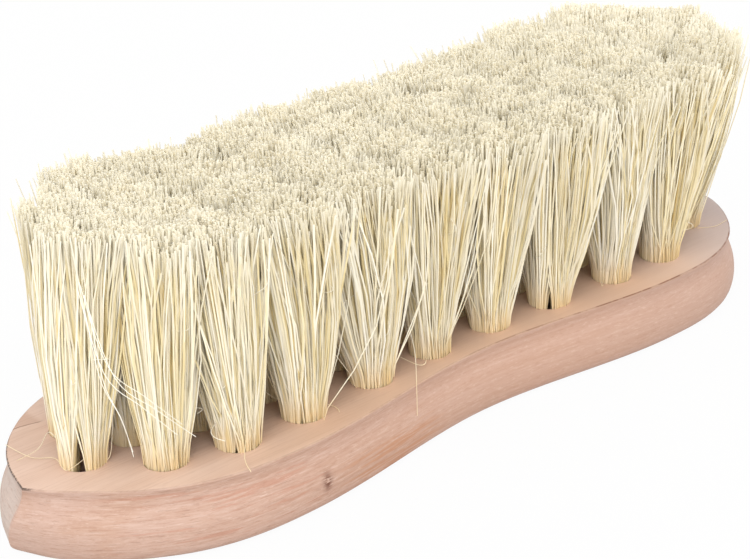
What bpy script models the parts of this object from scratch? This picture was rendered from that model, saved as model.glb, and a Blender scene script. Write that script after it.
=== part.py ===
# A hand-held horse grooming brush of the staple-set kind, lying on its back with the bristles up.
# The wooden stock is bored with blind holes. Each hole holds one bundle of plant fibre, folded
# over a flat steel anchor whose ends bite into the wood at both sides of the hole.
# Metres, +Z up. X runs along the brush, Y across it, and z = 0 is the flat back of the stock.

import math

import bmesh
import bpy
from mathutils import Matrix, Vector

# Stock
STOCK_LENGTH = 0.211
LOBE_WIDTH = 0.062
WAIST_WIDTH = 0.050
STOCK_THICKNESS = 0.0155
FLANK_FLARE = 0.0011
ARRIS_BREAK = 0.0003

# Holes and the wood left under them
HOLE_DIAMETER = 0.009
HOLE_FLOOR = 0.004

# Tufts
BRISTLE_LENGTH = 0.048
TUFT_CLEARANCE = 0.0003
BACKING_SLICE = 0.001
STRAND_RADIUS = 0.0007
STRAND_RIM = 0.0003
STRAND_SINK = 0.0005
LOCK_CLEARANCE = 0.0004
FIELD_WIDTH = 0.057
FIELD_OVERHANG = 0.0035

# Anchors
ANCHOR_HEIGHT = 0.0022
ANCHOR_THICKNESS = 0.0005
ANCHOR_BITE = 0.0005
FOLD_THICKNESS = 0.002

# Turn of every anchor from the brush's length, so that none of them splits the grain
ANCHOR_TURN = math.radians(45)

# Every cutter runs this far past the face that it opens
CUT_OVERRUN = 0.001

# Outline of the face, in shares of half the length and powers of the fall to the pointed end
LOBE_PLACE_SHARE = 0.54
NOSE_FALL = 2.6
NOSE_POINT = 0.8
OUTLINE_POINTS = 72

# Flank from the back up to the face: share of the thickness, then share of the flare
FLANK_SHARES = (
    (0.0, -1.4),
    (0.06, -0.4),
    (0.14, 0.25),
    (0.24, 0.75),
    (0.36, 1.0),
    (0.5, 0.9),
    (0.62, 0.4),
    (0.74, -0.25),
    (0.88, -0.4),
)

# Half the full columns: place along half the length, then reach of the outer row across the face
TUFT_COLUMN_SHARES = (
    (0.088, 0.68),
    (0.26, 0.66),
    (0.453, 0.645),
    (0.616, 0.64),
)
TUFTS_PER_COLUMN = 4

# One end's other tufts: place along half the length, then place across half the lobe's width.
# The first three make a bent column, and the last one stands at the tip. The brush's other end
# has the same four, turned half round.
END_TUFT_SHARES = (
    (0.754, 0.487),
    (0.739, 0.058),
    (0.801, -0.335),
    (0.861, 0.097),
)
BENT_COLUMN_TUFTS = 3

# The trimmed top is longer than the rows at the face by this share
FIELD_STRETCH_SHARE = 1.01
FIELD_END_SHARE = 0.93

HOLE_SIDES = 12
STRAND_SIDES = 3
STRANDS_PER_TUFT = 11
GOLDEN_ANGLE = math.pi * (3.0 - math.sqrt(5.0))

WOOD_COLOUR = (0.66, 0.45, 0.34, 1.0)
FIBRE_COLOUR = (0.79, 0.70, 0.48, 1.0)
STEEL_COLOUR = (0.55, 0.56, 0.58, 1.0)

HALF_LENGTH = STOCK_LENGTH / 2
HOLE_RADIUS = HOLE_DIAMETER / 2
ROOT_RADIUS = HOLE_RADIUS - TUFT_CLEARANCE
ROOT_BOTTOM = HOLE_FLOOR + TUFT_CLEARANCE
ROOT_TOP = STOCK_THICKNESS + BACKING_SLICE
BRISTLE_TOP = STOCK_THICKNESS + BRISTLE_LENGTH
STRAND_REACH = ROOT_RADIUS - STRAND_RADIUS - STRAND_RIM
STRAND_BOTTOM = ROOT_TOP - STRAND_SINK
ANCHOR_LENGTH = HOLE_DIAMETER + 2 * ANCHOR_BITE
ANCHOR_MIDDLE = ROOT_BOTTOM + FOLD_THICKNESS + ANCHOR_HEIGHT / 2


def clear_scene():
    for old in list(bpy.data.objects):
        bpy.data.objects.remove(old, do_unlink=True)


def new_collection(name):
    collection = bpy.data.collections.new(name)
    bpy.context.scene.collection.children.link(collection)
    return collection


def new_material(name, colour, roughness, metallic):
    material = bpy.data.materials.new(name)
    material.use_nodes = True
    surface = material.node_tree.nodes["Principled BSDF"]
    surface.inputs["Base Color"].default_value = colour
    surface.inputs["Roughness"].default_value = roughness
    surface.inputs["Metallic"].default_value = metallic
    return material


def object_from_bmesh(name, bm, collection, materials=()):
    bmesh.ops.recalc_face_normals(bm, faces=bm.faces)
    mesh = bpy.data.meshes.new(name)
    bm.to_mesh(mesh)
    bm.free()
    for material in materials:
        mesh.materials.append(material)
    thing = bpy.data.objects.new(name, mesh)
    collection.objects.link(thing)
    return thing


def make_cutter(thing):
    thing.hide_render = True
    thing.display_type = "WIRE"
    return thing


def add_boolean(thing, cutter, operation):
    modifier = thing.modifiers.new(cutter.name, "BOOLEAN")
    modifier.operation = operation
    modifier.solver = "EXACT"
    modifier.object = cutter


# Half width of the face at a distance from the middle, for an outline grown outward all round
def half_width(distance, grow):
    half_length = HALF_LENGTH + grow
    waist = WAIST_WIDTH / 2 + grow
    lobe = LOBE_WIDTH / 2 + grow
    lobe_place = LOBE_PLACE_SHARE * half_length
    if distance <= lobe_place:
        rise = distance / lobe_place
        return waist + (lobe - waist) * rise * rise * (3 - 2 * rise)
    fall = min(1.0, (distance - lobe_place) / (half_length - lobe_place))
    return lobe * (1 - fall ** NOSE_FALL) ** NOSE_POINT


def outline_point(station, grow):
    angle = 2 * math.pi * station / OUTLINE_POINTS
    x = (HALF_LENGTH + grow) * math.cos(angle)
    side = (math.sin(angle) > 0) - (math.sin(angle) < 0)
    if station % (OUTLINE_POINTS // 2) == 0:
        side = 0
    return x, side * half_width(abs(x), grow)


def stock_levels():
    for height_share, flare_share in FLANK_SHARES:
        yield height_share * STOCK_THICKNESS, flare_share * FLANK_FLARE
    yield STOCK_THICKNESS - ARRIS_BREAK, 0.0
    yield STOCK_THICKNESS, -ARRIS_BREAK


# The flank is drawn up from the back, ring by ring, with the outline grown at each level
def build_stock(collection, material):
    bm = bmesh.new()
    bmesh.ops.create_circle(bm, cap_ends=True, radius=HALF_LENGTH, segments=OUTLINE_POINTS)
    station = bm.verts.layers.int.new("station")
    for index, vertex in enumerate(bm.verts):
        vertex[station] = index
    bm.faces.ensure_lookup_table()
    top = bm.faces[0]
    for level, (height, grow) in enumerate(stock_levels()):
        if level > 0:
            raised = bmesh.ops.extrude_face_region(bm, geom=[top])
            if level > 1:
                bmesh.ops.delete(bm, geom=[top], context="FACES_ONLY")
            top = next(item for item in raised["geom"] if isinstance(item, bmesh.types.BMFace))
        for vertex in top.verts:
            x, y = outline_point(vertex[station], grow)
            vertex.co = (x, y, height)
    stock = object_from_bmesh("stock", bm, collection, (material,))
    stock.data.shade_smooth()
    stock.data.set_sharp_from_angle(angle=math.radians(40))
    return stock


# Feet of the tufts on one side of the middle, column by column from the waist to the tip
def tuft_columns(side):
    columns = []
    for place_share, reach_share in TUFT_COLUMN_SHARES:
        distance = place_share * HALF_LENGTH
        outer = reach_share * half_width(distance, 0.0)
        step = 2 * outer / (TUFTS_PER_COLUMN - 1)
        feet = [Vector((side * distance, row * step - outer)) for row in range(TUFTS_PER_COLUMN)]
        columns.append(feet)
    ends = []
    for place_share, across_share in END_TUFT_SHARES:
        across = across_share * LOBE_WIDTH / 2
        ends.append(Vector((place_share * HALF_LENGTH, across)) * side)
    columns.append(sorted(ends[:BENT_COLUMN_TUFTS], key=lambda foot: foot.y))
    columns.append(ends[BENT_COLUMN_TUFTS:])
    return columns


# The trimmed top is nearly straight-sided: it overhangs the waist and stops short of the lobes
def field_half_width(distance):
    return min(FIELD_WIDTH / 2, half_width(distance, 0.0) + FIELD_OVERHANG)


# One entry a tuft: its place on the face, and the middle and half sizes of its patch of the top.
# The lone tuft at each end fills half of the width there.
def tuft_places():
    places = []
    for side in (-1, 1):
        columns = tuft_columns(side)
        distances = [abs(sum(foot.x for foot in column)) / len(column) for column in columns]
        edges = [0.0]
        for near, far in zip(distances, distances[1:]):
            edges.append(FIELD_STRETCH_SHARE * (near + far) / 2)
        edges.append(FIELD_END_SHARE * HALF_LENGTH)
        for column, low, high in zip(columns, edges, edges[1:]):
            top_x = (low + high) / 2
            top_half_x = (high - low) / 2
            top_half_y = field_half_width(top_x) / max(len(column), 2)
            for row, foot in enumerate(column):
                top_y = top_half_y * (2 * row + 1 - len(column))
                places.append((foot, Vector((side * top_x, top_y)), (top_half_x, top_half_y)))
    places.sort(key=lambda place: (round(place[0].x, 6), place[0].y))
    return places


def add_anchor(bm, foot, clearance):
    length = ANCHOR_LENGTH + 2 * clearance
    thickness = ANCHOR_THICKNESS + 2 * clearance
    height = ANCHOR_HEIGHT + 2 * clearance
    place = Matrix.Translation((foot.x, foot.y, ANCHOR_MIDDLE))
    turn = Matrix.Rotation(ANCHOR_TURN, 4, "Z")
    shape = Matrix.Diagonal((length, thickness, height, 1.0))
    bmesh.ops.create_cube(bm, size=1.0, matrix=place @ turn @ shape)


def add_cylinder(bm, radius, low, high, foot):
    middle = Matrix.Translation((foot.x, foot.y, (low + high) / 2))
    bmesh.ops.create_cone(
        bm, cap_ends=True, segments=HOLE_SIDES, radius1=radius, radius2=radius,
        depth=high - low, matrix=middle)


def hole_cutter(places, collection):
    bm = bmesh.new()
    for foot, _, _ in places:
        add_cylinder(bm, HOLE_RADIUS, HOLE_FLOOR, STOCK_THICKNESS + CUT_OVERRUN, foot)
    return make_cutter(object_from_bmesh("cut_holes", bm, collection))


# The anchor's ends cut their own notches in both sides of the hole
def notch_cutter(places, collection):
    bm = bmesh.new()
    for foot, _, _ in places:
        add_anchor(bm, foot, TUFT_CLEARANCE)
    return make_cutter(object_from_bmesh("cut_notches", bm, collection))


def add_strand(bm, foot, tip, spread):
    made = bmesh.ops.create_cone(
        bm, cap_ends=True, segments=STRAND_SIDES, radius1=STRAND_RADIUS,
        radius2=STRAND_RADIUS * spread, depth=BRISTLE_TOP - STRAND_BOTTOM)
    for vertex in made["verts"]:
        is_tip = vertex.co.z > 0
        end = tip if is_tip else foot
        height = BRISTLE_TOP if is_tip else STRAND_BOTTOM
        vertex.co = (vertex.co.x + end.x, vertex.co.y + end.y, height)


# Strands stand on a sunflower pattern, which the top patch widens evenly, so none of them cross
def add_strands(bm, place):
    foot, top, half_sizes = place
    spread = (min(half_sizes) - LOCK_CLEARANCE) / (STRAND_REACH + STRAND_RADIUS)
    rim = LOCK_CLEARANCE + STRAND_RADIUS * spread
    for strand in range(STRANDS_PER_TUFT):
        distance = math.sqrt((strand + 0.5) / STRANDS_PER_TUFT)
        angle = strand * GOLDEN_ANGLE
        spot = Vector((distance * math.cos(angle), distance * math.sin(angle)))
        tip = Vector((spot.x * (half_sizes[0] - rim), spot.y * (half_sizes[1] - rim)))
        add_strand(bm, foot + spot * STRAND_REACH, top + tip, spread)


# What joins the packed root: the strands above the face, and the anchor that lies in its fold
def strands_and_anchor(name, place, collection, materials):
    bm = bmesh.new()
    add_strands(bm, place)
    strand_faces = len(bm.faces)
    add_anchor(bm, place[0], 0.0)
    bm.faces.ensure_lookup_table()
    for face in bm.faces[strand_faces:]:
        face.material_index = 1
    return make_cutter(object_from_bmesh(name + "_joined", bm, collection, materials))


def build_tuft(name, place, parts, cutters, materials):
    bm = bmesh.new()
    add_cylinder(bm, ROOT_RADIUS, ROOT_BOTTOM, ROOT_TOP, place[0])
    tuft = object_from_bmesh(name, bm, parts, materials)
    add_boolean(tuft, strands_and_anchor(name, place, cutters, materials), "UNION")
    return tuft


def main():
    clear_scene()
    parts = new_collection("horse_grooming_brush")
    cutters = new_collection("cutters")
    wood = new_material("stock_wood", WOOD_COLOUR, 0.55, 0.0)
    fibre = new_material("tuft_fibre", FIBRE_COLOUR, 0.7, 0.0)
    steel = new_material("anchor_steel", STEEL_COLOUR, 0.35, 1.0)
    places = tuft_places()
    stock = build_stock(parts, wood)
    add_boolean(stock, hole_cutter(places, cutters), "DIFFERENCE")
    add_boolean(stock, notch_cutter(places, cutters), "DIFFERENCE")
    for number, place in enumerate(places, start=1):
        build_tuft("tuft_%02d" % number, place, parts, cutters, (fibre, steel))


main()
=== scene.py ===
import math

import bmesh
import bpy
import numpy as np
from mathutils import Matrix, Vector, noise


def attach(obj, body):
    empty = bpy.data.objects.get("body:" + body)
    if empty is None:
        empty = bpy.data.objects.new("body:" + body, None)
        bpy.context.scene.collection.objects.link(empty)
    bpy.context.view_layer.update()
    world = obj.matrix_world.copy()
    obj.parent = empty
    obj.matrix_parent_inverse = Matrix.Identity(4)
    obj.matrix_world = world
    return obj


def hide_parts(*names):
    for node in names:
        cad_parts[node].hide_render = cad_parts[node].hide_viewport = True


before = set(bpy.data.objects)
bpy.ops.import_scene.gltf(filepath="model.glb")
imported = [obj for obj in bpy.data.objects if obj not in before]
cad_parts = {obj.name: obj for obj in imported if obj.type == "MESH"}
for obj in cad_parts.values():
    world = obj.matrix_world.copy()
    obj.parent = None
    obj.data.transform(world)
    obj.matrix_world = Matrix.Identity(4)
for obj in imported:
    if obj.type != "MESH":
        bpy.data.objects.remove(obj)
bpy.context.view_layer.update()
print("frame loaded:", len(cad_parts), "nodes")

# Sizes that the solids share, in metres
faceHeight = 0.0155
brushTop = 0.0635
halfLength = 0.1055
lobeHalf = 0.031
waistHalf = 0.025
flankFlare = 0.0011
holeRadius = 0.0045
holeFloor = 0.004


class Wire:
    # A shader socket that can be used in sums, so that 1 - mask adds its own Math node
    def __init__(self, tree, socket=None):
        self.tree = tree
        self.socket = socket

    def node(self, kind, settings=None, inputs=None, output=0):
        made = self.tree.nodes.new(kind)
        for name, value in (settings or {}).items():
            if name == "stops":
                self.setStops(made.color_ramp, value)
            else:
                setattr(made, name, value)
        for name, value in (inputs or {}).items():
            if isinstance(value, Wire):
                self.tree.links.new(value.socket, made.inputs[name])
            else:
                made.inputs[name].default_value = value
        return Wire(self.tree, made.outputs[output])

    def setStops(self, ramp, stops):
        while len(ramp.elements) < len(stops):
            ramp.elements.new(1.0)
        for element, (place, colour) in zip(ramp.elements, stops):
            element.position = place
            element.color = colour

    def output(self, name):
        # another output of the same node
        return Wire(self.tree, self.socket.node.outputs[name])

    def sum(self, operation, first, second=0.0):
        return self.node("ShaderNodeMath", {"operation": operation}, {0: first, 1: second})

    def __add__(self, other):
        return self.sum("ADD", self, other)

    def __radd__(self, other):
        return self.sum("ADD", other, self)

    def __sub__(self, other):
        return self.sum("SUBTRACT", self, other)

    def __rsub__(self, other):
        return self.sum("SUBTRACT", other, self)

    def __mul__(self, other):
        return self.sum("MULTIPLY", self, other)

    def __rmul__(self, other):
        return self.sum("MULTIPLY", other, self)

    def __pow__(self, other):
        return self.sum("POWER", self, other)


def srgb(red, green, blue):
    # A colour as it is read from a screen, 0 to 255, made linear
    def linear(value):
        value = value / 255
        return value / 12.92 if value <= 0.04045 else ((value + 0.055) / 1.055) ** 2.4
    return (linear(red), linear(green), linear(blue), 1.0)


def newSurface(name):
    material = bpy.data.materials.new(name)
    material.use_nodes = True
    tree = material.node_tree
    return material, tree.nodes["Principled BSDF"], Wire(tree)


def objectPlace(wire):
    # the place on the piece, whole and as its three parts
    place = wire.node("ShaderNodeTexCoord", output="Object")
    split = wire.node("ShaderNodeSeparateXYZ", {}, {0: place})
    return place, [split.output(axis) for axis in "XYZ"]


def painted(wire, name):
    # a number that the mesh carries at each vertex
    return wire.node("ShaderNodeAttribute", {"attribute_name": name}, output="Fac")


def ramped(wire, value, low, high):
    # 0 below low, 1 above high, smooth between; low may be the larger of the two
    settings = {"interpolation_type": "SMOOTHSTEP"}
    return wire.node("ShaderNodeMapRange", settings, {0: value, 1: low, 2: high})


def atLeast(least, mask):
    # a mask that never falls below a share
    return least + (1 - least) * mask


def blended(wire, factor, first, second):
    settings = {"data_type": "RGBA", "clamp_factor": True}
    return wire.node("ShaderNodeMix", settings, {0: factor, 6: first, 7: second}, output=2)


def stretchedNoise(wire, place, scale, detail=3.0, roughness=0.55, turn=(0.0, 0.0, 0.0)):
    inputs = {"Vector": place, "Scale": scale, "Rotation": turn}
    mapped = wire.node("ShaderNodeMapping", {}, inputs)
    inputs = {"Vector": mapped, "Scale": 1.0, "Detail": detail, "Roughness": roughness}
    return wire.node("ShaderNodeTexNoise", {}, inputs)


def bumped(wire, height, distance, strength):
    inputs = {"Height": height, "Distance": distance, "Strength": strength}
    return wire.node("ShaderNodeBump", {}, inputs)


def link(wire, value, surface, name):
    wire.tree.links.new(value.socket, surface.inputs[name])


def newObject(name, bm, material):
    mesh = bpy.data.meshes.new(name)
    bm.to_mesh(mesh)
    bm.free()
    mesh.materials.append(material)
    thing = bpy.data.objects.new(name, mesh)
    bpy.context.scene.collection.objects.link(thing)
    return thing


def raisedCap(bm, cap, first):
    # draws the end face of a column out by one ring; only the first one stays, as its foot
    raised = bmesh.ops.extrude_face_region(bm, geom=[cap])
    if not first:
        bmesh.ops.delete(bm, geom=[cap], context="FACES_ONLY")
    return next(item for item in raised["geom"] if isinstance(item, bmesh.types.BMFace))


# Camera, at the angle of the photograph
cameraPlace = {
    "eye": (-0.28204, -0.30352, 0.19962),
    "right": (0.73053, -0.68159, -0.04194),
    "up": (0.29367, 0.25812, 0.92040),
    "forward": (0.61650, 0.68470, -0.38873),
    "lens": 96.43,
    "sensorWidth": 36.0,
    "nearestSeen": 0.01,
}


def makeCamera(cameraPlace):
    camera = bpy.data.cameras.new("camera")
    camera.lens = cameraPlace["lens"]
    camera.sensor_width = cameraPlace["sensorWidth"]
    camera.sensor_fit = "HORIZONTAL"
    camera.clip_start = cameraPlace["nearestSeen"]
    holder = bpy.data.objects.new("camera", camera)
    bpy.context.scene.collection.objects.link(holder)
    axes = Matrix((cameraPlace["right"], cameraPlace["up"], cameraPlace["forward"])).transposed()
    axes.col[2] = -axes.col[2]
    holder.matrix_world = Matrix.Translation(cameraPlace["eye"]) @ axes.to_4x4()
    bpy.context.scene.camera = holder


makeCamera(cameraPlace)
print("camera placed")


# Light and floor
studio = {
    "skyStrength": 1.0,
    "keyStrength": 1.12,
    "keySoftness": 0.8,
    "keyTurn": (43.0, 0.0, -50.0),
    "fillStrength": 0.45,
    "fillTurn": (62.0, 0.0, 10.0),
    "floorColour": (0.72, 0.715, 0.71, 1.0),
    "floorWhite": 0.95,
    "floorHalf": 3.0,
    "floorBelow": 0.0002,
}


def makeSun(name, strength, softness, turn):
    lamp = bpy.data.lights.new(name, "SUN")
    lamp.energy = strength
    lamp.angle = softness
    holder = bpy.data.objects.new(name, lamp)
    holder.rotation_euler = [math.radians(angle) for angle in turn]
    bpy.context.scene.collection.objects.link(holder)


def seenDirectly(wire):
    # 1 for what the camera sees, also through glass or in a mirror, and 0 for all other light
    rays = wire.node("ShaderNodeLightPath")
    camera, glossy, through = (
        rays.output("Is %s Ray" % kind) for kind in ("Camera", "Glossy", "Transmission"))
    return wire.sum("MAXIMUM", wire.sum("MAXIMUM", camera, glossy), through)


def makeWorld(studio):
    world = bpy.data.worlds.new("studio")
    world.use_nodes = True
    bpy.context.scene.world = world
    wire = Wire(world.node_tree)
    background = world.node_tree.nodes["Background"]
    background.inputs["Color"].default_value = (1.0, 1.0, 1.0, 1.0)
    seen = seenDirectly(wire)
    strength = seen + (1 - seen) * studio["skyStrength"]
    link(wire, strength, background, "Strength")


def makeFloor(studio):
    bm = bmesh.new()
    bmesh.ops.create_grid(bm, x_segments=2, y_segments=2, size=studio["floorHalf"])
    bmesh.ops.translate(bm, vec=(0, 0, -studio["floorBelow"]), verts=bm.verts)
    material = bpy.data.materials.new("floor_paper")
    material.use_nodes = True
    tree = material.node_tree
    tree.nodes.remove(tree.nodes["Principled BSDF"])
    wire = Wire(tree)
    paper = wire.node("ShaderNodeBsdfDiffuse", {}, {"Color": studio["floorColour"]})
    white = wire.node("ShaderNodeEmission", {}, {"Color": (1, 1, 1, 1), "Strength": 1.0})
    share = seenDirectly(wire) * studio["floorWhite"]
    mixed = wire.node("ShaderNodeMixShader", {}, {0: share, 1: paper, 2: white})
    tree.links.new(mixed.socket, tree.nodes["Material Output"].inputs["Surface"])
    floor = newObject("floor", bm, material)


makeSun("key", studio["keyStrength"], studio["keySoftness"], studio["keyTurn"])
makeSun("fill", studio["fillStrength"], studio["keySoftness"], studio["fillTurn"])
makeWorld(studio)
makeFloor(studio)
bpy.context.scene.view_settings.view_transform = "Standard"
print("studio ready")


# Stock: its outline is drawn up from the back, ring by ring, and the holes are cut afterwards
stock = {
    "outlinePoints": 288,
    "lobePlace": 0.54,
    "noseFall": 2.6,
    "nosePoint": 0.8,
    "noseWedge": 0.0025,
    "flankLevels": 22,
    "sharpFrom": 35,
    # the arris wavers a little, from this share of the height up and less near the middle line
    "arrisWobble": 0.00007,
    "wobbleFrom": 0.97,
    "wobbleScale": 420,
    "wobbleFade": 0.006,
    # its last rings: how far below the face, and how much the outline grows
    "arris": ((0.00012, -0.00005), (0.00002, -0.00018), (0.0, -0.00042), (0.0, -0.0018)),
    # the drops below the face between which a ring is painted as the arris
    "rimDrops": (0.000005, 0.00015),
    # the near left nose was sanded askew: its ridge runs from this far off the middle line, at
    # the face and at the back, and the wood swells a little below it
    "skewStart": 0.097,
    "skewAtFace": -0.0035,
    "skewAtBack": 0.0015,
    "noseSwell": 0.0009,
    "noseFoot": 0.0010,
    "swellSpan": (0.088, 0.102),
    "holeSides": 36,
    "holeOver": 0.001,
    # the flank's curve: share of the height, and share of its flare
    "flank": (
        (0.0, -0.9), (0.05, 0.0), (0.12, 0.6), (0.24, 1.0), (0.36, 1.1),
        (0.5, 0.9), (0.62, 0.4), (0.74, -0.25), (0.88, -0.4), (0.978, 0.0),
    ),
}


# Wood of the stock: fine pale hardwood with its grain along X, pinker on the flank than on the
# face; the face is also painted paler than the flank, as light from above would leave it
wood = {
    "faceColour": srgb(220, 191, 173),
    "faceDeep": srgb(211, 179, 159),
    # painted shade: the face between the tufts, darker where they shade it
    "faceMiddleShade": srgb(206, 169, 142),
    "flankColour": srgb(196, 161, 143),
    "flankDeep": srgb(187, 149, 128),
    # painted shade: the right end of the flank darker, where less light falls
    "flankRightShade": srgb(187, 155, 139),
    # painted light on the flank: the left end paler, as lit from the left; on the face only a
    # slight change of tone
    "leftToneAndLight": srgb(207, 176, 161),
    # painted shade: the right end of the face darker and greyer, where less light falls
    "rightShadeColour": srgb(181, 168, 167),
    # painted light: the nose's facet past its ridge, paler and greyer as lit
    "noseFacetLit": srgb(200, 185, 175),
    "warmPatch": srgb(190, 148, 121),
    "paleLine": srgb(222, 196, 181),
    "deepLine": srgb(165, 121, 96),
    "streakColour": srgb(186, 124, 98),
    "bandColour": srgb(186, 128, 88),
    "poreColour": srgb(124, 80, 56),
    "burntColour": srgb(64, 54, 48),
    "knotColour": srgb(104, 58, 38),
    # the knot is taller than it is wide, and bends the grain around it: how it is squashed, and
    # how steeply it and the bent grain fall off
    "knotPlace": (-0.0527, -0.0319, 0.0063),
    "knotAcross": 0.6,
    "knotUp": 0.62,
    "knotFall": 750000.0,
    "nearKnotFall": 90000.0,
    # growth rings: how depth into the trunk rises with Y and Z, how it sways, rings to the metre
    "depthAlong": (0.22, 0.97),
    "ringSway": 0.007,
    "ringBend": 0.0016,
    "rings": 620.0,
    "ringsOnFace": 0.6,
    "ringsOnFlank": 0.8,
    # how much of the left end's tint the face and the flank take, how lively the grain still is
    # at the right and on the face, and how brown the arris is at least
    "leftOnFace": 0.15,
    "leftOnFlank": 0.6,
    "grainRight": 0.35,
    "grainOnFace": 0.5,
    "rimBetween": 0.5,
    "rimLeft": 0.4,
    # a crack across the far left of the face: one end of it, its slope and how far it wanders
    "crackPlace": (-0.0930, 0.0192),
    "crackSlope": -0.17,
    "crackWander": 0.0012,
    # patterns: how finely each is drawn along X, Y and Z, its detail, roughness and turn
    "patterns": {
        "sway": ((7.0, 22.0, 22.0), 2.0),
        "broad": ((12.0, 90.0, 90.0), 4.0, 0.6),
        "fineFace": ((60.0, 1800.0, 1800.0), 4.0, 0.7),
        "fineFlank": ((95.0, 140.0, 1900.0), 5.0, 0.75),
        "hairFace": ((300.0, 4200.0, 4200.0), 3.0, 0.65),
        "hairFlank": ((260.0, 400.0, 4600.0), 3.0, 0.65),
        "short": ((520.0, 620.0, 2300.0), 3.0, 0.65),
        "slant": ((50.0, 50.0, 800.0), 5.0, 0.7, (0.0, 0.26, 0.0)),
        "low": ((22.0, 300.0, 1300.0), 4.0, 0.65),
        "patchy": ((240.0, 240.0, 240.0), 3.0, 0.6),
        "strokes": ((1500.0, 2600.0, 500.0), 2.0, 0.6),
    },
    # where an effect begins and where it is full: places in metres, or levels of a pattern
    "spans": {
        "face": (faceHeight - 0.0004, faceHeight - 0.0001),
        "nearFace": (faceHeight - 0.0006, faceHeight - 0.0002),
        "rings": (0.3, 0.75),
        "leftEnd": (-0.045, -0.105),
        "middleFromLeft": (-0.080, -0.045),
        "middleFromRight": (0.075, 0.040),
        "rightOnFace": (0.050, 0.100),
        "rightOnFlank": (0.015, 0.075),
        "pastRidge": (0.0001, 0.0006),
        "atNose": (-0.090, -0.097),
        "livelyLeft": (0.0, -0.07),
        "warm": (0.42, 0.66),
        "deepLines": (0.51, 0.64),
        "paleLines": (0.48, 0.36),
        "pores": (0.60, 0.68),
        "flecks": (0.37, 0.31),
        "deepShort": (0.56, 0.68),
        "paleShort": (0.43, 0.32),
        "streaks": (0.53, 0.62),
        "streaksFromRight": (-0.040, -0.062),
        "streaksFromLeft": (-0.101, -0.088),
        "band": (0.47, 0.58),
        "bandFromLeft": (-0.052, -0.042),
        "bandFromRight": (-0.010, -0.026),
        "bandFromTop": (0.0095, 0.006),
        "knot": (0.36, 0.52),
        "crackEnds": (-0.0855, -0.0875),
        "crack": (0.00035, 0.0001),
        "beyondCrack": (0.0, 0.0006),
        "rimPatches": (0.40, 0.60),
        "rimRight": (-0.02, 0.04),
        "scorch": (0.36, 0.50),
        "scorchLeft": (-0.0940, -0.0985),
        "scorchNear": (-0.0060, -0.0040),
    },
    # the tints laid over the plain wood, one after another, some of them painted light and shade:
    # which colour, and how strongly
    "tints": {
        # painted light: the left end of the flank paler, as lit from the left; a slight change of
        # tone on the face
        "leftEnd": ("leftToneAndLight", 1.0),
        # painted shade: the middle of the face, between the tufts
        "faceMiddleShade": ("faceMiddleShade", 0.6),
        # painted shade: the right end of the face and of the flank, where less light falls
        "faceRightShade": ("rightShadeColour", 0.8),
        "flankRightShade": ("flankRightShade", 0.8),
        # painted light: the nose's facet past its ridge, paler and greyer as lit
        "noseFacetLight": ("noseFacetLit", 0.8),
        "warm": ("warmPatch", 0.36),
        "deepLines": ("deepLine", 0.32),
        "paleLines": ("paleLine", 0.32),
        "pores": ("poreColour", 0.22),
        "flecks": ("paleLine", 0.6),
        "deepShort": ("deepLine", 0.24),
        "paleShort": ("paleLine", 0.24),
        "streaks": ("streakColour", 0.38),
        "band": ("bandColour", 0.6),
        "knot": ("knotColour", 1.0),
        "beyondCrack": ("flankDeep", 0.5),
        "crack": ("poreColour", 0.6),
        "rim": ("poreColour", 0.9),
        "scorch": ("burntColour", 0.9),
    },
    # roughness of plain wood, and what fine lines and pores add to it
    "roughness": (0.52, 0.16, 0.12),
    # relief of the fine lines, the hair lines, the pores and the rings
    "relief": (0.5, 0.35, 0.5, 0.3),
    "grainDepth": 0.00010,
    "grainStrength": 0.6,
    "shine": 0.35,
}


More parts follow.
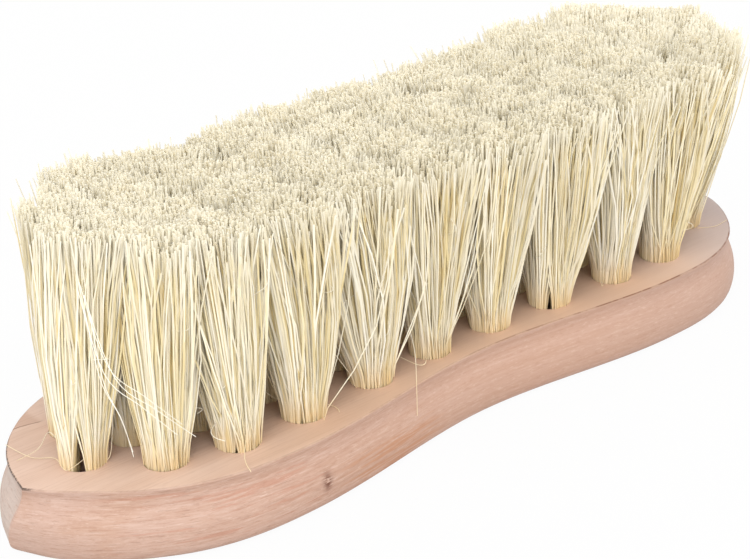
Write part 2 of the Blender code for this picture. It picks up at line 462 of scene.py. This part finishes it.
def makeWood(wood):
    material, surface, wire = newSurface("stock_wood")
    place, (x, y, z) = objectPlace(wire)
    grain = {name: stretchedNoise(wire, place, *how) for name, how in wood["patterns"].items()}

    def span(value, name):
        return ramped(wire, value, *wood["spans"][name])

    onFace = span(z, "face")
    onFlank = 1 - onFace
    knotX, knotY, knotZ = wood["knotPlace"]
    fromKnot = (x - knotX) ** 2 + ((z - knotZ) * wood["knotUp"]) ** 2
    fromKnot = fromKnot + ((y - knotY) * wood["knotAcross"]) ** 2
    nearKnot = wire.sum("EXPONENT", fromKnot * -wood["nearKnotFall"])
    inKnot = wire.sum("EXPONENT", fromKnot * -wood["knotFall"])

    # growth rings cut lengthwise, drawn as bands of distance from a far pith
    withY, withZ = wood["depthAlong"]
    depth = y * withY + z * withZ + grain["sway"] * wood["ringSway"] + nearKnot * wood["ringBend"]
    rings = wire.node(
        "ShaderNodeTexNoise", {"noise_dimensions": "1D"},
        {"W": depth * wood["rings"], "Scale": 1.0, "Detail": 3.0, "Roughness": 0.6})
    bands = span(rings, "rings")
    # the face is painted paler than the flank: partly the wood's own tone, partly painted light
    # from above
    face = blended(wire, bands * wood["ringsOnFace"], wood["faceColour"], wood["faceDeep"])
    flank = blended(wire, bands * wood["ringsOnFlank"], wood["flankColour"], wood["flankDeep"])
    colour = blended(wire, onFace, flank, face)

    # the lines of the face follow X, and those of the flank run level all round;
    # they show most at the near left of the flank, and least on the face
    fine = grain["fineFlank"] + (grain["fineFace"] - grain["fineFlank"]) * onFace
    hair = grain["hairFlank"] + (grain["hairFace"] - grain["hairFlank"]) * onFace
    lively = atLeast(wood["grainRight"], span(x, "livelyLeft"))
    lively = lively * (1 - onFace * (1 - wood["grainOnFace"]))
    pores = span(hair, "pores") * lively

    # the askew ridge of the sanded nose, the crack, and the arris that the mesh marks
    skewSlope = (stock["skewAtFace"] - stock["skewAtBack"]) / faceHeight
    pastRidge = y - (stock["skewAtBack"] + z * skewSlope)
    crackX, crackY = wood["crackPlace"]
    beyond = y - (crackY + (x - crackX) * wood["crackSlope"])
    beyond = beyond + (grain["patchy"] - 0.5) * wood["crackWander"]
    crackEnds = span(x, "crackEnds") * onFace
    rim = painted(wire, "rim")

    leftLess = wood["leftOnFlank"] - wood["leftOnFace"]
    masks = {
        # painted light: the left end of the flank paler, as lit from the left
        "leftEnd": span(x, "leftEnd") * (wood["leftOnFlank"] - leftLess * onFace),
        # painted shade: the middle of the face, where the tufts shade it
        "faceMiddleShade": span(x, "middleFromLeft") * span(x, "middleFromRight") * onFace,
        # painted shade: the right end, darker where less light falls
        "faceRightShade": span(x, "rightOnFace") * onFace,
        "flankRightShade": span(x, "rightOnFlank") * onFlank,
        # painted light: the facet past the nose's ridge, where it is lit
        "noseFacetLight": span(pastRidge, "pastRidge") * span(x, "atNose") * onFlank,
        "warm": span(grain["broad"], "warm") * lively,
        "deepLines": span(fine, "deepLines") * lively,
        "paleLines": span(fine, "paleLines") * lively,
        "pores": pores,
        "flecks": span(hair, "flecks") * lively,
        "deepShort": span(grain["short"], "deepShort") * onFlank,
        "paleShort": span(grain["short"], "paleShort") * onFlank,
        "streaks": span(grain["slant"], "streaks") * onFlank
        * span(x, "streaksFromRight") * span(x, "streaksFromLeft"),
        "band": span(grain["low"], "band") * span(z, "bandFromTop")
        * span(x, "bandFromLeft") * span(x, "bandFromRight"),
        "knot": inKnot * span(grain["short"], "knot"),
        "beyondCrack": span(beyond, "beyondCrack") * crackEnds,
        "crack": span(wire.sum("ABSOLUTE", beyond), "crack") * crackEnds,
        # brown where it is rubbed, and scorched in small strokes where the left end was sanded
        "rim": rim * atLeast(wood["rimBetween"], span(grain["patchy"], "rimPatches"))
        * atLeast(wood["rimLeft"], span(x, "rimRight")),
        "scorch": span(grain["strokes"], "scorch") * span(z, "nearFace") * (1 - onFace * (1 - rim))
        * span(x, "scorchLeft") * span(y, "scorchNear"),
    }
    for name, (shade, strength) in wood["tints"].items():
        colour = blended(wire, masks[name] * strength, colour, wood[shade])
    link(wire, colour, surface, "Base Color")

    plain, fineAdds, poresAdd = wood["roughness"]
    link(wire, plain + fine * fineAdds + pores * poresAdd, surface, "Roughness")
    fineHigh, hairHigh, poresDeep, ringsHigh = wood["relief"]
    height = fine * fineHigh + hair * hairHigh - pores * poresDeep + rings * ringsHigh
    bump = bumped(wire, height, wood["grainDepth"], wood["grainStrength"])
    link(wire, bump, surface, "Normal")
    surface.inputs["Specular IOR Level"].default_value = wood["shine"]
    return material


woodMaterial = makeWood(wood)
print("wood ready")


def halfWidth(distance, grow):
    # half width of the face at a distance from the middle, for an outline grown all round
    reach = halfLength + grow
    waist = waistHalf + grow
    lobe = lobeHalf + grow
    lobePlace = stock["lobePlace"] * reach
    if distance <= lobePlace:
        rise = distance / lobePlace
        return waist + (lobe - waist) * rise * rise * (3 - 2 * rise)
    # the last bit before the tip is straight, so that the two sides meet in a ridge
    wedge = min(1.0, max(0.0, reach - distance) / stock["noseWedge"])
    distance = min(distance, reach - stock["noseWedge"])
    fall = (distance - lobePlace) / (reach - lobePlace)
    return wedge * lobe * (1 - fall ** stock["noseFall"]) ** stock["nosePoint"]


def smoothed(value, low, high):
    share = min(1.0, max(0.0, (value - low) / (high - low)))
    return share * share * (3 - 2 * share)


def outlinePoint(station, grow, height):
    angle = 2 * math.pi * station / stock["outlinePoints"]
    share = height / faceHeight
    if math.cos(angle) < 0:
        swell = stock["noseSwell"] * math.sin(math.pi * share) ** 2
        swell += stock["noseFoot"] * (1 - share) ** 3
        grow += swell * smoothed(-halfLength * math.cos(angle), *stock["swellSpan"])
    x = (halfLength + grow) * math.cos(angle)
    atTip = station % (stock["outlinePoints"] // 2) == 0
    side = 0 if atTip else math.copysign(1, math.sin(angle))
    skew = stock["skewAtBack"] + (stock["skewAtFace"] - stock["skewAtBack"]) * share
    askew = max(0.0, (-x - stock["skewStart"]) / (halfLength - stock["skewStart"])) ** 2
    return x, side * halfWidth(abs(x), grow) + skew * askew


def flankFlareAt(share):
    # a smooth curve through the flank's points, as a share of the flare
    points = stock["flank"]
    slopes = [0.0] * len(points)
    for index in range(len(points)):
        before, after = points[max(0, index - 1)], points[min(len(points) - 1, index + 1)]
        slopes[index] = (after[1] - before[1]) / (after[0] - before[0])
    for index in range(len(points) - 1):
        (low, lowFlare), (high, highFlare) = points[index], points[index + 1]
        if share <= high:
            step = high - low
            t = (share - low) / step
            return (
                (1 + 2 * t) * (1 - t) ** 2 * lowFlare + t * (1 - t) ** 2 * step * slopes[index]
                + t * t * (3 - 2 * t) * highFlare + t * t * (t - 1) * step * slopes[index + 1])
    return points[-1][1]


def stockLevels():
    levels = []
    for level in range(stock["flankLevels"] + 1):
        share = stock["flank"][-1][0] * level / stock["flankLevels"]
        levels.append((share * faceHeight, flankFlareAt(share) * flankFlare))
    return levels + [(faceHeight - drop, grow) for drop, grow in stock["arris"]]


def cutHoles(thing, feet):
    bm = bmesh.new()
    over = stock["holeOver"]
    for foot in feet:
        middle = Matrix.Translation((foot.x, foot.y, (holeFloor + faceHeight + over) / 2))
        bmesh.ops.create_cone(
            bm, cap_ends=True, segments=stock["holeSides"], radius1=holeRadius,
            radius2=holeRadius, depth=faceHeight + over - holeFloor, matrix=middle)
    cutter = newObject("hole_cutter", bm, woodMaterial)
    cut = thing.modifiers.new("holes", "BOOLEAN")
    cut.operation = "DIFFERENCE"
    cut.solver = "EXACT"
    cut.object = cutter
    graph = bpy.context.evaluated_depsgraph_get()
    finished = bpy.data.meshes.new_from_object(thing.evaluated_get(graph))
    thing.modifiers.clear()
    thing.data = finished
    bpy.data.objects.remove(cutter)


def paintRim(mesh):
    # 1 on the two rings of the arris and 0 on the rings beside them
    rim = mesh.attributes.new("rim", "FLOAT", "POINT")
    least, most = stock["rimDrops"]
    for vertex in mesh.vertices:
        drop = faceHeight - vertex.co.z
        rim.data[vertex.index].value = 1.0 if least < drop < most else 0.0


def makeStock(feet):
    bm = bmesh.new()
    bmesh.ops.create_circle(bm, cap_ends=True, radius=halfLength, segments=stock["outlinePoints"])
    station = bm.verts.layers.int.new("station")
    for index, vertex in enumerate(bm.verts):
        vertex[station] = index
    bm.faces.ensure_lookup_table()
    top = bm.faces[0]
    for level, (height, grow) in enumerate(stockLevels()):
        if level > 0:
            top = raisedCap(bm, top, level == 1)
        wobble = stock["arrisWobble"] if height > stock["wobbleFrom"] * faceHeight else 0.0
        for vertex in top.verts:
            x, y = outlinePoint(vertex[station], grow, height)
            uneven = noise.noise(Vector((x, y, 0.0)) * stock["wobbleScale"]) * wobble
            uneven *= min(1.0, abs(y) / stock["wobbleFade"])
            vertex.co = (x, y + math.copysign(uneven, y), height)
    bmesh.ops.recalc_face_normals(bm, faces=bm.faces)
    thing = newObject("wooden_stock", bm, woodMaterial)
    cutHoles(thing, feet)
    thing.data.shade_smooth()
    thing.data.set_sharp_from_angle(angle=math.radians(stock["sharpFrom"]))
    paintRim(thing.data)
    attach(thing, "root")
    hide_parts("stock")


# Where each tuft stands, as in the solids, and the patch of the trimmed top that it fills
field = {
    "columns": ((0.088, 0.68), (0.26, 0.66), (0.453, 0.645), (0.616, 0.64)),
    "rows": 4,
    "endTufts": ((0.754, 0.487), (0.739, 0.058), (0.801, -0.335), (0.861, 0.097)),
    "stretch": 1.01,
    "lastEdge": 0.0736,
    # the trimmed top, whose tufts lean a little to the left and at the right end to the right:
    # where its places lie in X, its outline as X, near Y and far Y, and how far past it they go
    "shift": ((-0.0981, -0.0600, 0.0600, 0.0981), (-0.0905, -0.0620, 0.0580, 0.1072)),
    "outline": (
        (-0.0915, 0.0018, 0.0034), (-0.0890, -0.0035, 0.0076), (-0.0855, -0.0105, 0.0138),
        (-0.0800, -0.0172, 0.0228), (-0.0750, -0.0217, 0.0292), (-0.0700, -0.0245, 0.0320),
        (-0.0600, -0.0270, 0.0325), (-0.0520, -0.0272, 0.0315), (-0.0450, -0.0272, 0.0280),
        (-0.0390, -0.0272, 0.0255), (-0.0330, -0.0273, 0.0265), (-0.0220, -0.0274, 0.0305),
        (-0.0150, -0.0278, 0.0300), (-0.0090, -0.0282, 0.0280), (-0.0030, -0.0287, 0.0300),
        (0.0150, -0.0300, 0.0300), (0.0250, -0.0305, 0.0275), (0.0360, -0.0310, 0.0300),
        (0.0510, -0.0310, 0.0300), (0.0580, -0.0310, 0.0335), (0.0780, -0.0290, 0.0352),
        (0.0850, -0.0258, 0.0355), (0.0930, -0.0212, 0.0340), (0.0985, -0.0180, 0.0305),
        (0.1015, -0.0133, 0.0250), (0.1040, -0.0070, 0.0175), (0.1070, 0.0005, 0.0095),
    ),
    "overhang": 1.04,
    # the patches of the four tufts at each end: distances along, then shares across
    "endPatches": {
        -1: ((0.072, 0.088, -1.0, -0.33), (0.072, 0.085, -0.33, 0.33),
             (0.0736, 0.096, 0.3, 1.0), (0.084, 0.0981, -0.85, 0.5)),
        1: ((0.0736, 0.0981, 0.3, 1.0), (0.0736, 0.087, -0.33, 0.33),
            (0.074, 0.0975, -1.0, -0.33), (0.086, 0.0981, -0.5, 0.6)),
    },
}


def tuftPlaces():
    found = []
    for side in (-1, 1):
        # the columns of the body share the length between them
        distances = [place * halfLength for place, _ in field["columns"]]
        middles = [(near + far) / 2 for near, far in zip(distances, distances[1:])]
        edges = [0.0] + [field["stretch"] * middle for middle in middles] + [field["lastEdge"]]
        spans = zip(field["columns"], distances, edges, edges[1:])
        for (_, reachShare), distance, low, high in spans:
            outer = reachShare * halfWidth(distance, 0.0)
            for row in range(field["rows"]):
                foot = Vector((side * distance, outer * (2 * row / (field["rows"] - 1) - 1)))
                shares = [2 * edge / field["rows"] - 1 for edge in (row, row + 1)]
                found.append(placed(side, foot, (low, high, *shares)))
        for (along, across), patch in zip(field["endTufts"], field["endPatches"][side]):
            foot = Vector((along * halfLength, across * lobeHalf)) * side
            found.append(placed(side, foot, patch))
    found.sort(key=lambda place: (round(place["foot"].x, 6), place["foot"].y))
    return found


def placed(side, foot, patch):
    low, high, nearShare, farShare = patch
    middle = np.array((side * (low + high) / 2, (nearShare + farShare) / 2))
    half = np.array(((high - low) / 2, (farShare - nearShare) / 2))
    return {"foot": foot, "middle": middle, "half": half}


def onTrimmedTop(spots):
    # moves places of the even field, a distance along and a share across, onto the top as trimmed
    x = np.interp(spots[:, 0], *field["shift"])
    edgeX, nearY, farY = np.array(field["outline"]).T
    near, far = np.interp(x, edgeX, nearY), np.interp(x, edgeX, farY)
    across = np.clip(spots[:, 1], -field["overhang"], field["overhang"])
    return np.column_stack([x, (near + far) / 2 + across * (far - near) / 2])


places = tuftPlaces()
makeStock([place["foot"] for place in places])
print("stock made")


# Bristles: cream plant fibre, each one with a tone of its own
fibre = {
    "pale": srgb(251, 247, 234),
    "cream": srgb(250, 242, 219),
    "golden": srgb(242, 227, 182),
    # the last colours are reached mostly by fibres deep in a tuft, as painted warm shade
    "dark": srgb(229, 205, 147),
    # partly the feet's own golden tone, partly painted warm shade low between the tufts
    "rootToneAndShade": srgb(238, 211, 156),
    "tipTint": srgb(244, 238, 220),
    # where each of the first four colours stands among the tones, and how much one fibre varies
    "tones": {"pale": 0.0, "cream": 0.4, "golden": 0.72, "dark": 1.0},
    "toneVaries": 0.4,
    # the heights between which the feet turn golden and the cut ends pale, and how much; the golden
    # feet are partly their own tone and partly painted warm shade low between the tufts
    "rootSpan": (faceHeight + 0.008, faceHeight - 0.001),
    "rootStrength": 0.65,
    "tipSpan": (brushTop - 0.010, brushTop - 0.002),
    "tipStrength": 0.85,
    "lengthways": ((900.0, 900.0, 70.0), 3.0, 0.6),
    "fine": ((9000.0, 9000.0, 400.0), 2.0),
    "roughness": 0.4,
    "fineRoughness": 0.2,
    "grainDepth": 0.00005,
    "grainStrength": 0.5,
    "shine": 0.3,
}


def makeFibre(fibre):
    material, surface, wire = newSurface("bristle_fibre")
    place, (_, _, z) = objectPlace(wire)
    along = stretchedNoise(wire, place, *fibre["lengthways"])
    tone = painted(wire, "tone") + (along - 0.5) * fibre["toneVaries"]
    stops = [(level, fibre[name]) for name, level in fibre["tones"].items()]
    colour = wire.node("ShaderNodeValToRGB", {"stops": stops}, {0: tone})
    # the feet tinted golden and darker: partly their own tone, partly painted warm shade between
    # the tufts
    footToneAndShade = ramped(wire, z, *fibre["rootSpan"]) * fibre["rootStrength"]
    colour = blended(wire, footToneAndShade, colour, fibre["rootToneAndShade"])
    # the cut ends are all about as pale
    tipped = ramped(wire, z, *fibre["tipSpan"]) * fibre["tipStrength"]
    colour = blended(wire, tipped, colour, fibre["tipTint"])
    link(wire, colour, surface, "Base Color")
    fine = stretchedNoise(wire, place, *fibre["fine"])
    link(wire, fibre["roughness"] + fine * fibre["fineRoughness"], surface, "Roughness")
    bump = bumped(wire, fine, fibre["grainDepth"], fibre["grainStrength"])
    link(wire, bump, surface, "Normal")
    surface.inputs["Specular IOR Level"].default_value = fibre["shine"]
    return material


fibreMaterial = makeFibre(fibre)

bristles = {
    "seed": 23,
    "fibres": 1080,
    "radius": 0.00017,
    "radiusSpread": 0.25,
    "turnBetween": 2.4,  # from one fibre's triangle to the next, in radians
    # the fibres deeper inside than this share are thicker, and painted more golden as the warm
    # shade deep in the tuft
    "innerDepth": 0.3,
    "innerThicker": 0.6,
    "innerGoldenShade": 0.38,
    "toneCurve": (2.4, 5.0),
    "mostGolden": 0.62,
    "footTaper": 0.7,
    "tipTaper": 0.98,
    # the round foot in its hole, and how square the bundle is on the top's far and near side
    "rootRadius": 0.0043,
    "rootDepth": 0.0040,
    "rootFilled": 0.96,
    "spotJitter": 0.02,
    "squareFar": 0.45,
    "squareNear": 0.65,
    "levels": (0.07, 0.27, 0.5, 0.75, 1.0),
    "spreading": 1.04,
    # fibres cling together in locks, which lean and bow as one
    "locks": 20,
    "lockSpread": 0.9,
    "lockReach": 0.0011,
    "lockBow": 0.0007,
    "lockDrop": 0.0008,
    "lockTone": 0.06,
    "tipJitter": 0.0005,
    "topBelow": 0.0002,
    "lengthJitter": 0.0010,
    # the near side isn't cut as level as the middle: how much, from which share across and
    # over how many, and how far to the right that goes and over what length it fades out
    "edgeDrop": 0.0026,
    "edgeAcross": (0.8, 0.2),
    "edgeAlong": (0.098, 0.02),
    # fibres that start on one side of the foot and end on another of the top
    "crossedShare": 0.16,
    "crossedReach": 0.4,
    "shortShare": 0.04,
    "shortBy": 0.0035,
    "bend": 0.0008,
    "crinkle": 0.00018,
    "unrulyShare": 0.10,
    "unrulyReach": 0.0030,
    "wildShare": 0.014,
    "wildReach": 0.0065,
    # crossed, unruly and wild fibres are thinner and take less of the painted golden shade, and the
    # last two bow more
    "strayThinner": 0.8,
    "strayGoldenShade": 0.3,
    "strayBow": 0.7,
    "widest": 0.0425,
    # the tufts at the two ends, from this distance on, are tidier
    "endFrom": 0.070,
    "endTidier": 0.45,
    # a tuft's two halves part at the fold: gap, how high it closes, its curve, and how much
    # less the outer fibres part
    "fold": (0.0006, 0.003),
    "foldCurve": 0.7,
    "foldOuter": 0.8,
    # tufts whose halves stand further apart
    "splits": {
        (-0.0908, -0.0030): (0.0030, 0.034),
        (0.0274, -0.0172): (0.0018, 0.012),
        (-0.0650, -0.0197): (0.0012, 0.008),
        (-0.0478, -0.0192): (0.0009, 0.005),
    },
    "splitNear": 0.002,
}


def squareFromDisc(spots):
    # spreads a round bundle's fibres over a patch with rounded corners, rounder on the far side
    length = np.maximum(np.hypot(spots[:, 0], spots[:, 1]), 1e-9)
    widest = np.maximum(np.abs(spots[:, 0]), np.abs(spots[:, 1])) / length
    squareness = np.where(spots[:, 1] > 0, bristles["squareFar"], bristles["squareNear"])
    return spots * (1 + (1 / widest - 1) * squareness)[:, None]


def splitOf(foot):
    for (x, y), split in bristles["splits"].items():
        if math.hypot(foot.x - x, foot.y - y) < bristles["splitNear"]:
            return split
    return bristles["fold"]


def fibrePaths(place, chance):
    count = bristles["fibres"]
    order = np.arange(count)
    distance = np.sqrt((order + 0.5) / count)
    angle = order * math.pi * (3 - math.sqrt(5))
    spots = np.stack([distance * np.cos(angle), distance * np.sin(angle)], -1)
    spots = spots + chance.normal(0, bristles["spotJitter"], spots.shape)
    # each fibre belongs to the lock whose middle is nearest
    reach = bristles["lockSpread"]
    middles = chance.uniform(-reach, reach, (bristles["locks"], 2))
    lock = np.argmin(((spots[:, None] - middles[None]) ** 2).sum(2), 1)
    lockTip = chance.normal(0, bristles["lockReach"], middles.shape)[lock]
    loose = bristles["endTidier"] if abs(place["foot"].x) > bristles["endFrom"] else 1.0
    lockBow = chance.normal(0, bristles["lockBow"] * loose, middles.shape)[lock]
    foot = np.array(place["foot"]) + spots * bristles["rootRadius"] * bristles["rootFilled"]
    ends = spots.copy()
    crossed = chance.random(count) < bristles["crossedShare"]
    ends[crossed] += chance.normal(0, bristles["crossedReach"], (int(crossed.sum()), 2))
    ends /= np.maximum(1.0, np.hypot(ends[:, 0], ends[:, 1]))[:, None]
    ends = place["middle"] + squareFromDisc(ends) * place["half"]
    tip = onTrimmedTop(ends) + lockTip + chance.normal(0, bristles["tipJitter"], ends.shape)
    unruly = chance.random(count) < bristles["unrulyShare"]
    wild = chance.random(count) < bristles["wildShare"]
    tip[unruly] += chance.normal(0, bristles["unrulyReach"] * loose, (int(unruly.sum()), 2))
    tip[wild] += chance.normal(0, bristles["wildReach"] * loose ** 2, (int(wild.sum()), 2))
    tip[:, 1] = np.clip(tip[:, 1], -bristles["widest"], bristles["widest"])
    top = brushTop - bristles["topBelow"]
    top = top - np.abs(chance.normal(0, bristles["lengthJitter"], count))
    top -= np.abs(chance.normal(0, bristles["lockDrop"], len(middles)))[lock]
    (shareFrom, shareOver), (farthest, fading) = bristles["edgeAcross"], bristles["edgeAlong"]
    outside = np.clip((-ends[:, 1] - shareFrom) / shareOver, 0, 1)
    outside *= np.clip((farthest - ends[:, 0]) / fading, 0, 1)
    top -= outside * np.abs(chance.normal(0, bristles["edgeDrop"], count))
    short = chance.random(count) < bristles["shortShare"]
    top[short | wild] -= chance.uniform(0, bristles["shortBy"], int((short | wild).sum()))
    bow = chance.normal(0, bristles["bend"], (count, 2)) + lockBow
    bow[unruly | wild] *= 1 + bristles["strayBow"] * loose
    # the fold over the anchor lies at 45 degrees, and its two halves stand apart across it
    across = np.array([-math.sqrt(0.5), math.sqrt(0.5)])
    offset = spots @ across
    gap, closes = splitOf(place["foot"])
    kink = np.zeros((count, 2))
    rings = []
    length = brushTop - faceHeight
    for share in (-bristles["rootDepth"] / length,) + bristles["levels"]:
        height = faceHeight + share * (top - faceHeight)
        rise = max(0.0, share)
        kink = kink + chance.normal(0, bristles["crinkle"], kink.shape) * (share > 0)
        spread = (tip - foot) * rise ** bristles["spreading"]
        flat = foot + spread + bow * math.sin(math.pi * rise) + kink
        apart = gap / 2 * max(0.0, 1 - rise * length / closes) ** bristles["foldCurve"]
        push = np.where(offset >= 0, apart, -apart)
        push = push * (1 - bristles["foldOuter"] * np.minimum(1, np.abs(offset)))
        rings.append(np.column_stack([flat + push[:, None] * across, height]))
    inner = np.minimum(1, (1 - distance) / bristles["innerDepth"])
    thickness = 1 + inner * bristles["innerThicker"]
    tones = chance.beta(*bristles["toneCurve"], count)
    tones += chance.normal(0, bristles["lockTone"], len(middles))[lock]
    strays = crossed | unruly | wild
    thickness[strays] *= bristles["strayThinner"]
    tones = np.clip(tones, 0, bristles["mostGolden"])
    # painted shade: fibres deep inside the tuft turn golden, as the warm shade among them
    tones += np.where(strays, bristles["strayGoldenShade"], 1.0) * inner * bristles["innerGoldenShade"]
    return np.stack(rings, 1), thickness, np.clip(tones, 0, 1)


def growFibres(bm, paths, radii, tones):
    # every fibre starts as a small triangle, and all are drawn along their paths together
    which = bm.verts.layers.int.new("which")
    tone = bm.verts.layers.float.new("tone")
    for index, path in enumerate(paths):
        seed = bmesh.ops.create_circle(
            bm, cap_ends=True, radius=radii[index], segments=3,
            matrix=Matrix.Rotation(index * bristles["turnBetween"], 4, "Z"))
        for vertex in seed["verts"]:
            vertex[which] = index
            vertex[tone] = tones[index]
    tops = list(bm.faces)
    levels = len(paths[0])
    for level in range(levels):
        if level == 1:
            raised = bmesh.ops.extrude_face_region(bm, geom=tops)
            tops = [item for item in raised["geom"] if isinstance(item, bmesh.types.BMFace)]
        elif level > 1:
            tops = bmesh.ops.extrude_discrete_faces(bm, faces=tops)["faces"]
        share = level / (levels - 1)
        thin = bristles["footTaper"] + (1 - bristles["footTaper"]) * min(1.0, share * 2)
        thin *= 1 - (1 - bristles["tipTaper"]) * share
        for face in tops:
            index = face.verts[0][which]
            place = Vector(paths[index][level])
            middle = face.calc_center_median()
            shrink = thin * radii[index] / max(1e-9, (face.verts[0].co - middle).length)
            for vertex in face.verts:
                vertex.co = place + (vertex.co - middle) * shrink
    bmesh.ops.recalc_face_normals(bm, faces=bm.faces)


def makeTuft(number, place):
    name = "tuft_%02d" % number
    chance = np.random.default_rng(bristles["seed"] * 1000 + number)
    paths, thickness, tones = fibrePaths(place, chance)
    count = len(paths)
    spread = chance.uniform(-1, 1, count) * bristles["radiusSpread"]
    radii = bristles["radius"] * thickness * (1 + spread)
    bm = bmesh.new()
    growFibres(bm, paths, radii, tones)
    thing = newObject("bristles_%02d" % number, bm, fibreMaterial)
    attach(thing, "root")
    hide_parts(name)


for number, place in enumerate(places, start=1):
    makeTuft(number, place)
print("bristles grown")


# Stray hairs: fibres that have come loose from their tufts. Lines and crossings are points in
# millimetres, and the rest is in metres
hairs = {
    "radius": 0.00008,
    "steps": 6,
    "seed": 61,
    "tones": 5,
    "darkest": 0.25,
    "lines": (
        ((-98.1, 13.3, 16.2), (-97.3, 5.5, 15.8), (-94.5, 1.3, 16.0), (-95.7, -4.2, 15.8),
         (-92.0, -5.0, 17.0)),
        ((-100.0, 6.5, 15.8), (-97.0, 3.0, 18.5), (-93.5, 4.0, 20.5), (-92.6, 1.0, 17.5),
         (-93.8, -1.0, 15.8)),
        ((-84.4, -5.5, 24.5), (-86.7, -6.9, 17.5), (-88.0, -6.8, 15.8)),
        ((-17.5, -20.0, 24.1), (-20.0, -24.0, 20.4), (-23.2, -27.5, 14.5), (-23.7, -27.9, 8.7)),
        ((-65.3, -23.0, 18.5), (-69.4, -27.1, 16.3), (-71.5, -31.5, 15.8)),
        ((84.4, -15.9, 15.8), (88.2, -18.3, 15.8), (93.3, -17.9, 15.8)),
        ((-17.2, -16.3, 16.5), (-17.3, -22.2, 16.5), (-14.9, -21.9, 16.5), (-9.8, -15.4, 16.5)),
    ),
    # locks that cross in front of the near left tufts: their line, how many and how far apart
    "crossings": (
        (((-94.4, -13.0, 55.7), (-96.8, -22.5, 42.5), (-90.9, -25.0, 34.5), (-83.0, -24.0, 25.6)),
         3, 0.9),
        (((-91.2, -11.0, 50.0), (-93.6, -18.0, 39.0), (-91.4, -20.5, 31.6), (-87.9, -19.0, 22.5)),
         2, 0.7),
    ),
    # curls and bent fibres that stand out of the sides of the tufts: the shares of the height
    # between which they start, and how far out that is at the foot and per share
    "curlsPerTuft": 3,
    "curlStart": (0.03, 0.7),
    "curlOut": (0.0044, 0.0035),
    "curlRoot": 0.001,
    "curlReach": (0.004, 0.011),
    "curlSwing": 0.6,
    "curlBend": (0.001, 0.003),
    "curlTurn": 0.8,
    "curlRise": (-0.6, 1.0),
    "curlSteps": (0.35, 0.7, 1.0),
    "aboveFace": 0.0002,
}


def smoothLine(points, steps):
    # a curve through the points, with a few places between each two
    ends = [points[0]] + list(points) + [points[-1]]
    line = []
    for a, b, c, d in zip(ends, ends[1:], ends[2:], ends[3:]):
        for step in range(steps):
            t = step / steps
            line.append(
                b + (c - a) * (t / 2) + (a * 2 - b * 5 + c * 4 - d) * (t * t / 2)
                + (b * 3 - a - c * 3 + d) * (t ** 3 / 2))
    return line + [points[-1]]


def growHairs(bm, lines, radius):
    corner = bm.verts.layers.int.new("corner")
    tone = bm.verts.layers.float.new("tone")
    for number, line in enumerate(lines):
        seed = bmesh.ops.create_circle(bm, cap_ends=True, radius=radius, segments=3)
        for index, vertex in enumerate(seed["verts"]):
            vertex[corner] = index
            vertex[tone] = hairs["darkest"] * (number % hairs["tones"]) / hairs["tones"]
        top = seed["verts"][0].link_faces[0]
        side = Vector((0.31, 0.87, 0.38))  # any way that no hair runs along
        for level, place in enumerate(line):
            if level > 0:
                top = raisedCap(bm, top, level == 1)
            ahead = (line[min(level + 1, len(line) - 1)] - line[max(level - 1, 0)]).normalized()
            side = (side - ahead * side.dot(ahead)).normalized()
            other = ahead.cross(side)
            for vertex in top.verts:
                angle = vertex[corner] * math.pi * 2 / 3
                vertex.co = place + (side * math.cos(angle) + other * math.sin(angle)) * radius
    bmesh.ops.recalc_face_normals(bm, faces=bm.faces)


def curl(foot, top, hairs, chance):
    # one curl out of the side of a tuft, as a few points
    share = chance.uniform(*hairs["curlStart"])
    middle = Vector(foot) * (1 - share) + Vector(top) * share
    around = chance.uniform(0, 2 * math.pi)
    out = Vector((math.cos(around), math.sin(around), 0.0))
    side = Vector((-out.y, out.x, 0.0))
    atFoot, perShare = hairs["curlOut"]
    height = faceHeight + share * (brushTop - faceHeight)
    start = middle.to_3d() + out * (atFoot + share * perShare) + Vector((0, 0, height))
    reach = chance.uniform(*hairs["curlReach"])
    swing = chance.normal(0, hairs["curlSwing"])
    bend = chance.uniform(*hairs["curlBend"])
    rise = chance.uniform(*hairs["curlRise"])
    line = [start - out * hairs["curlRoot"]]
    for step in hairs["curlSteps"]:
        sideways = side * (swing * reach * step)
        outward = out * (bend * math.sin(math.pi * step * hairs["curlTurn"]))
        point = start + sideways + outward + Vector((0, 0, rise * reach * step))
        point.z = max(point.z, faceHeight + hairs["aboveFace"])
        line.append(point)
    return line


def strayLines(hairs):
    chance = np.random.default_rng(hairs["seed"])
    lines = [[Vector(point) / 1000 for point in line] for line in hairs["lines"]]
    for line, count, apart in hairs["crossings"]:
        for _ in range(count):
            shift = Vector(chance.normal(0, apart, 3)) / 1000
            grow = Vector(chance.normal(0, apart, 3)) / 1000
            last = len(line) - 1
            lines.append([Vector(p) / 1000 + shift + grow * (i / last) for i, p in enumerate(line)])
    for place in places:
        top = onTrimmedTop(place["middle"][None])[0]
        for _ in range(hairs["curlsPerTuft"]):
            lines.append(curl(place["foot"], top, hairs, chance))
    return [smoothLine(line, hairs["steps"]) for line in lines]


def makeHairs(hairs):
    bm = bmesh.new()
    growHairs(bm, strayLines(hairs), hairs["radius"])
    thing = newObject("stray_hairs", bm, fibreMaterial)
    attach(thing, "root")


makeHairs(hairs)
print("stray hairs made")
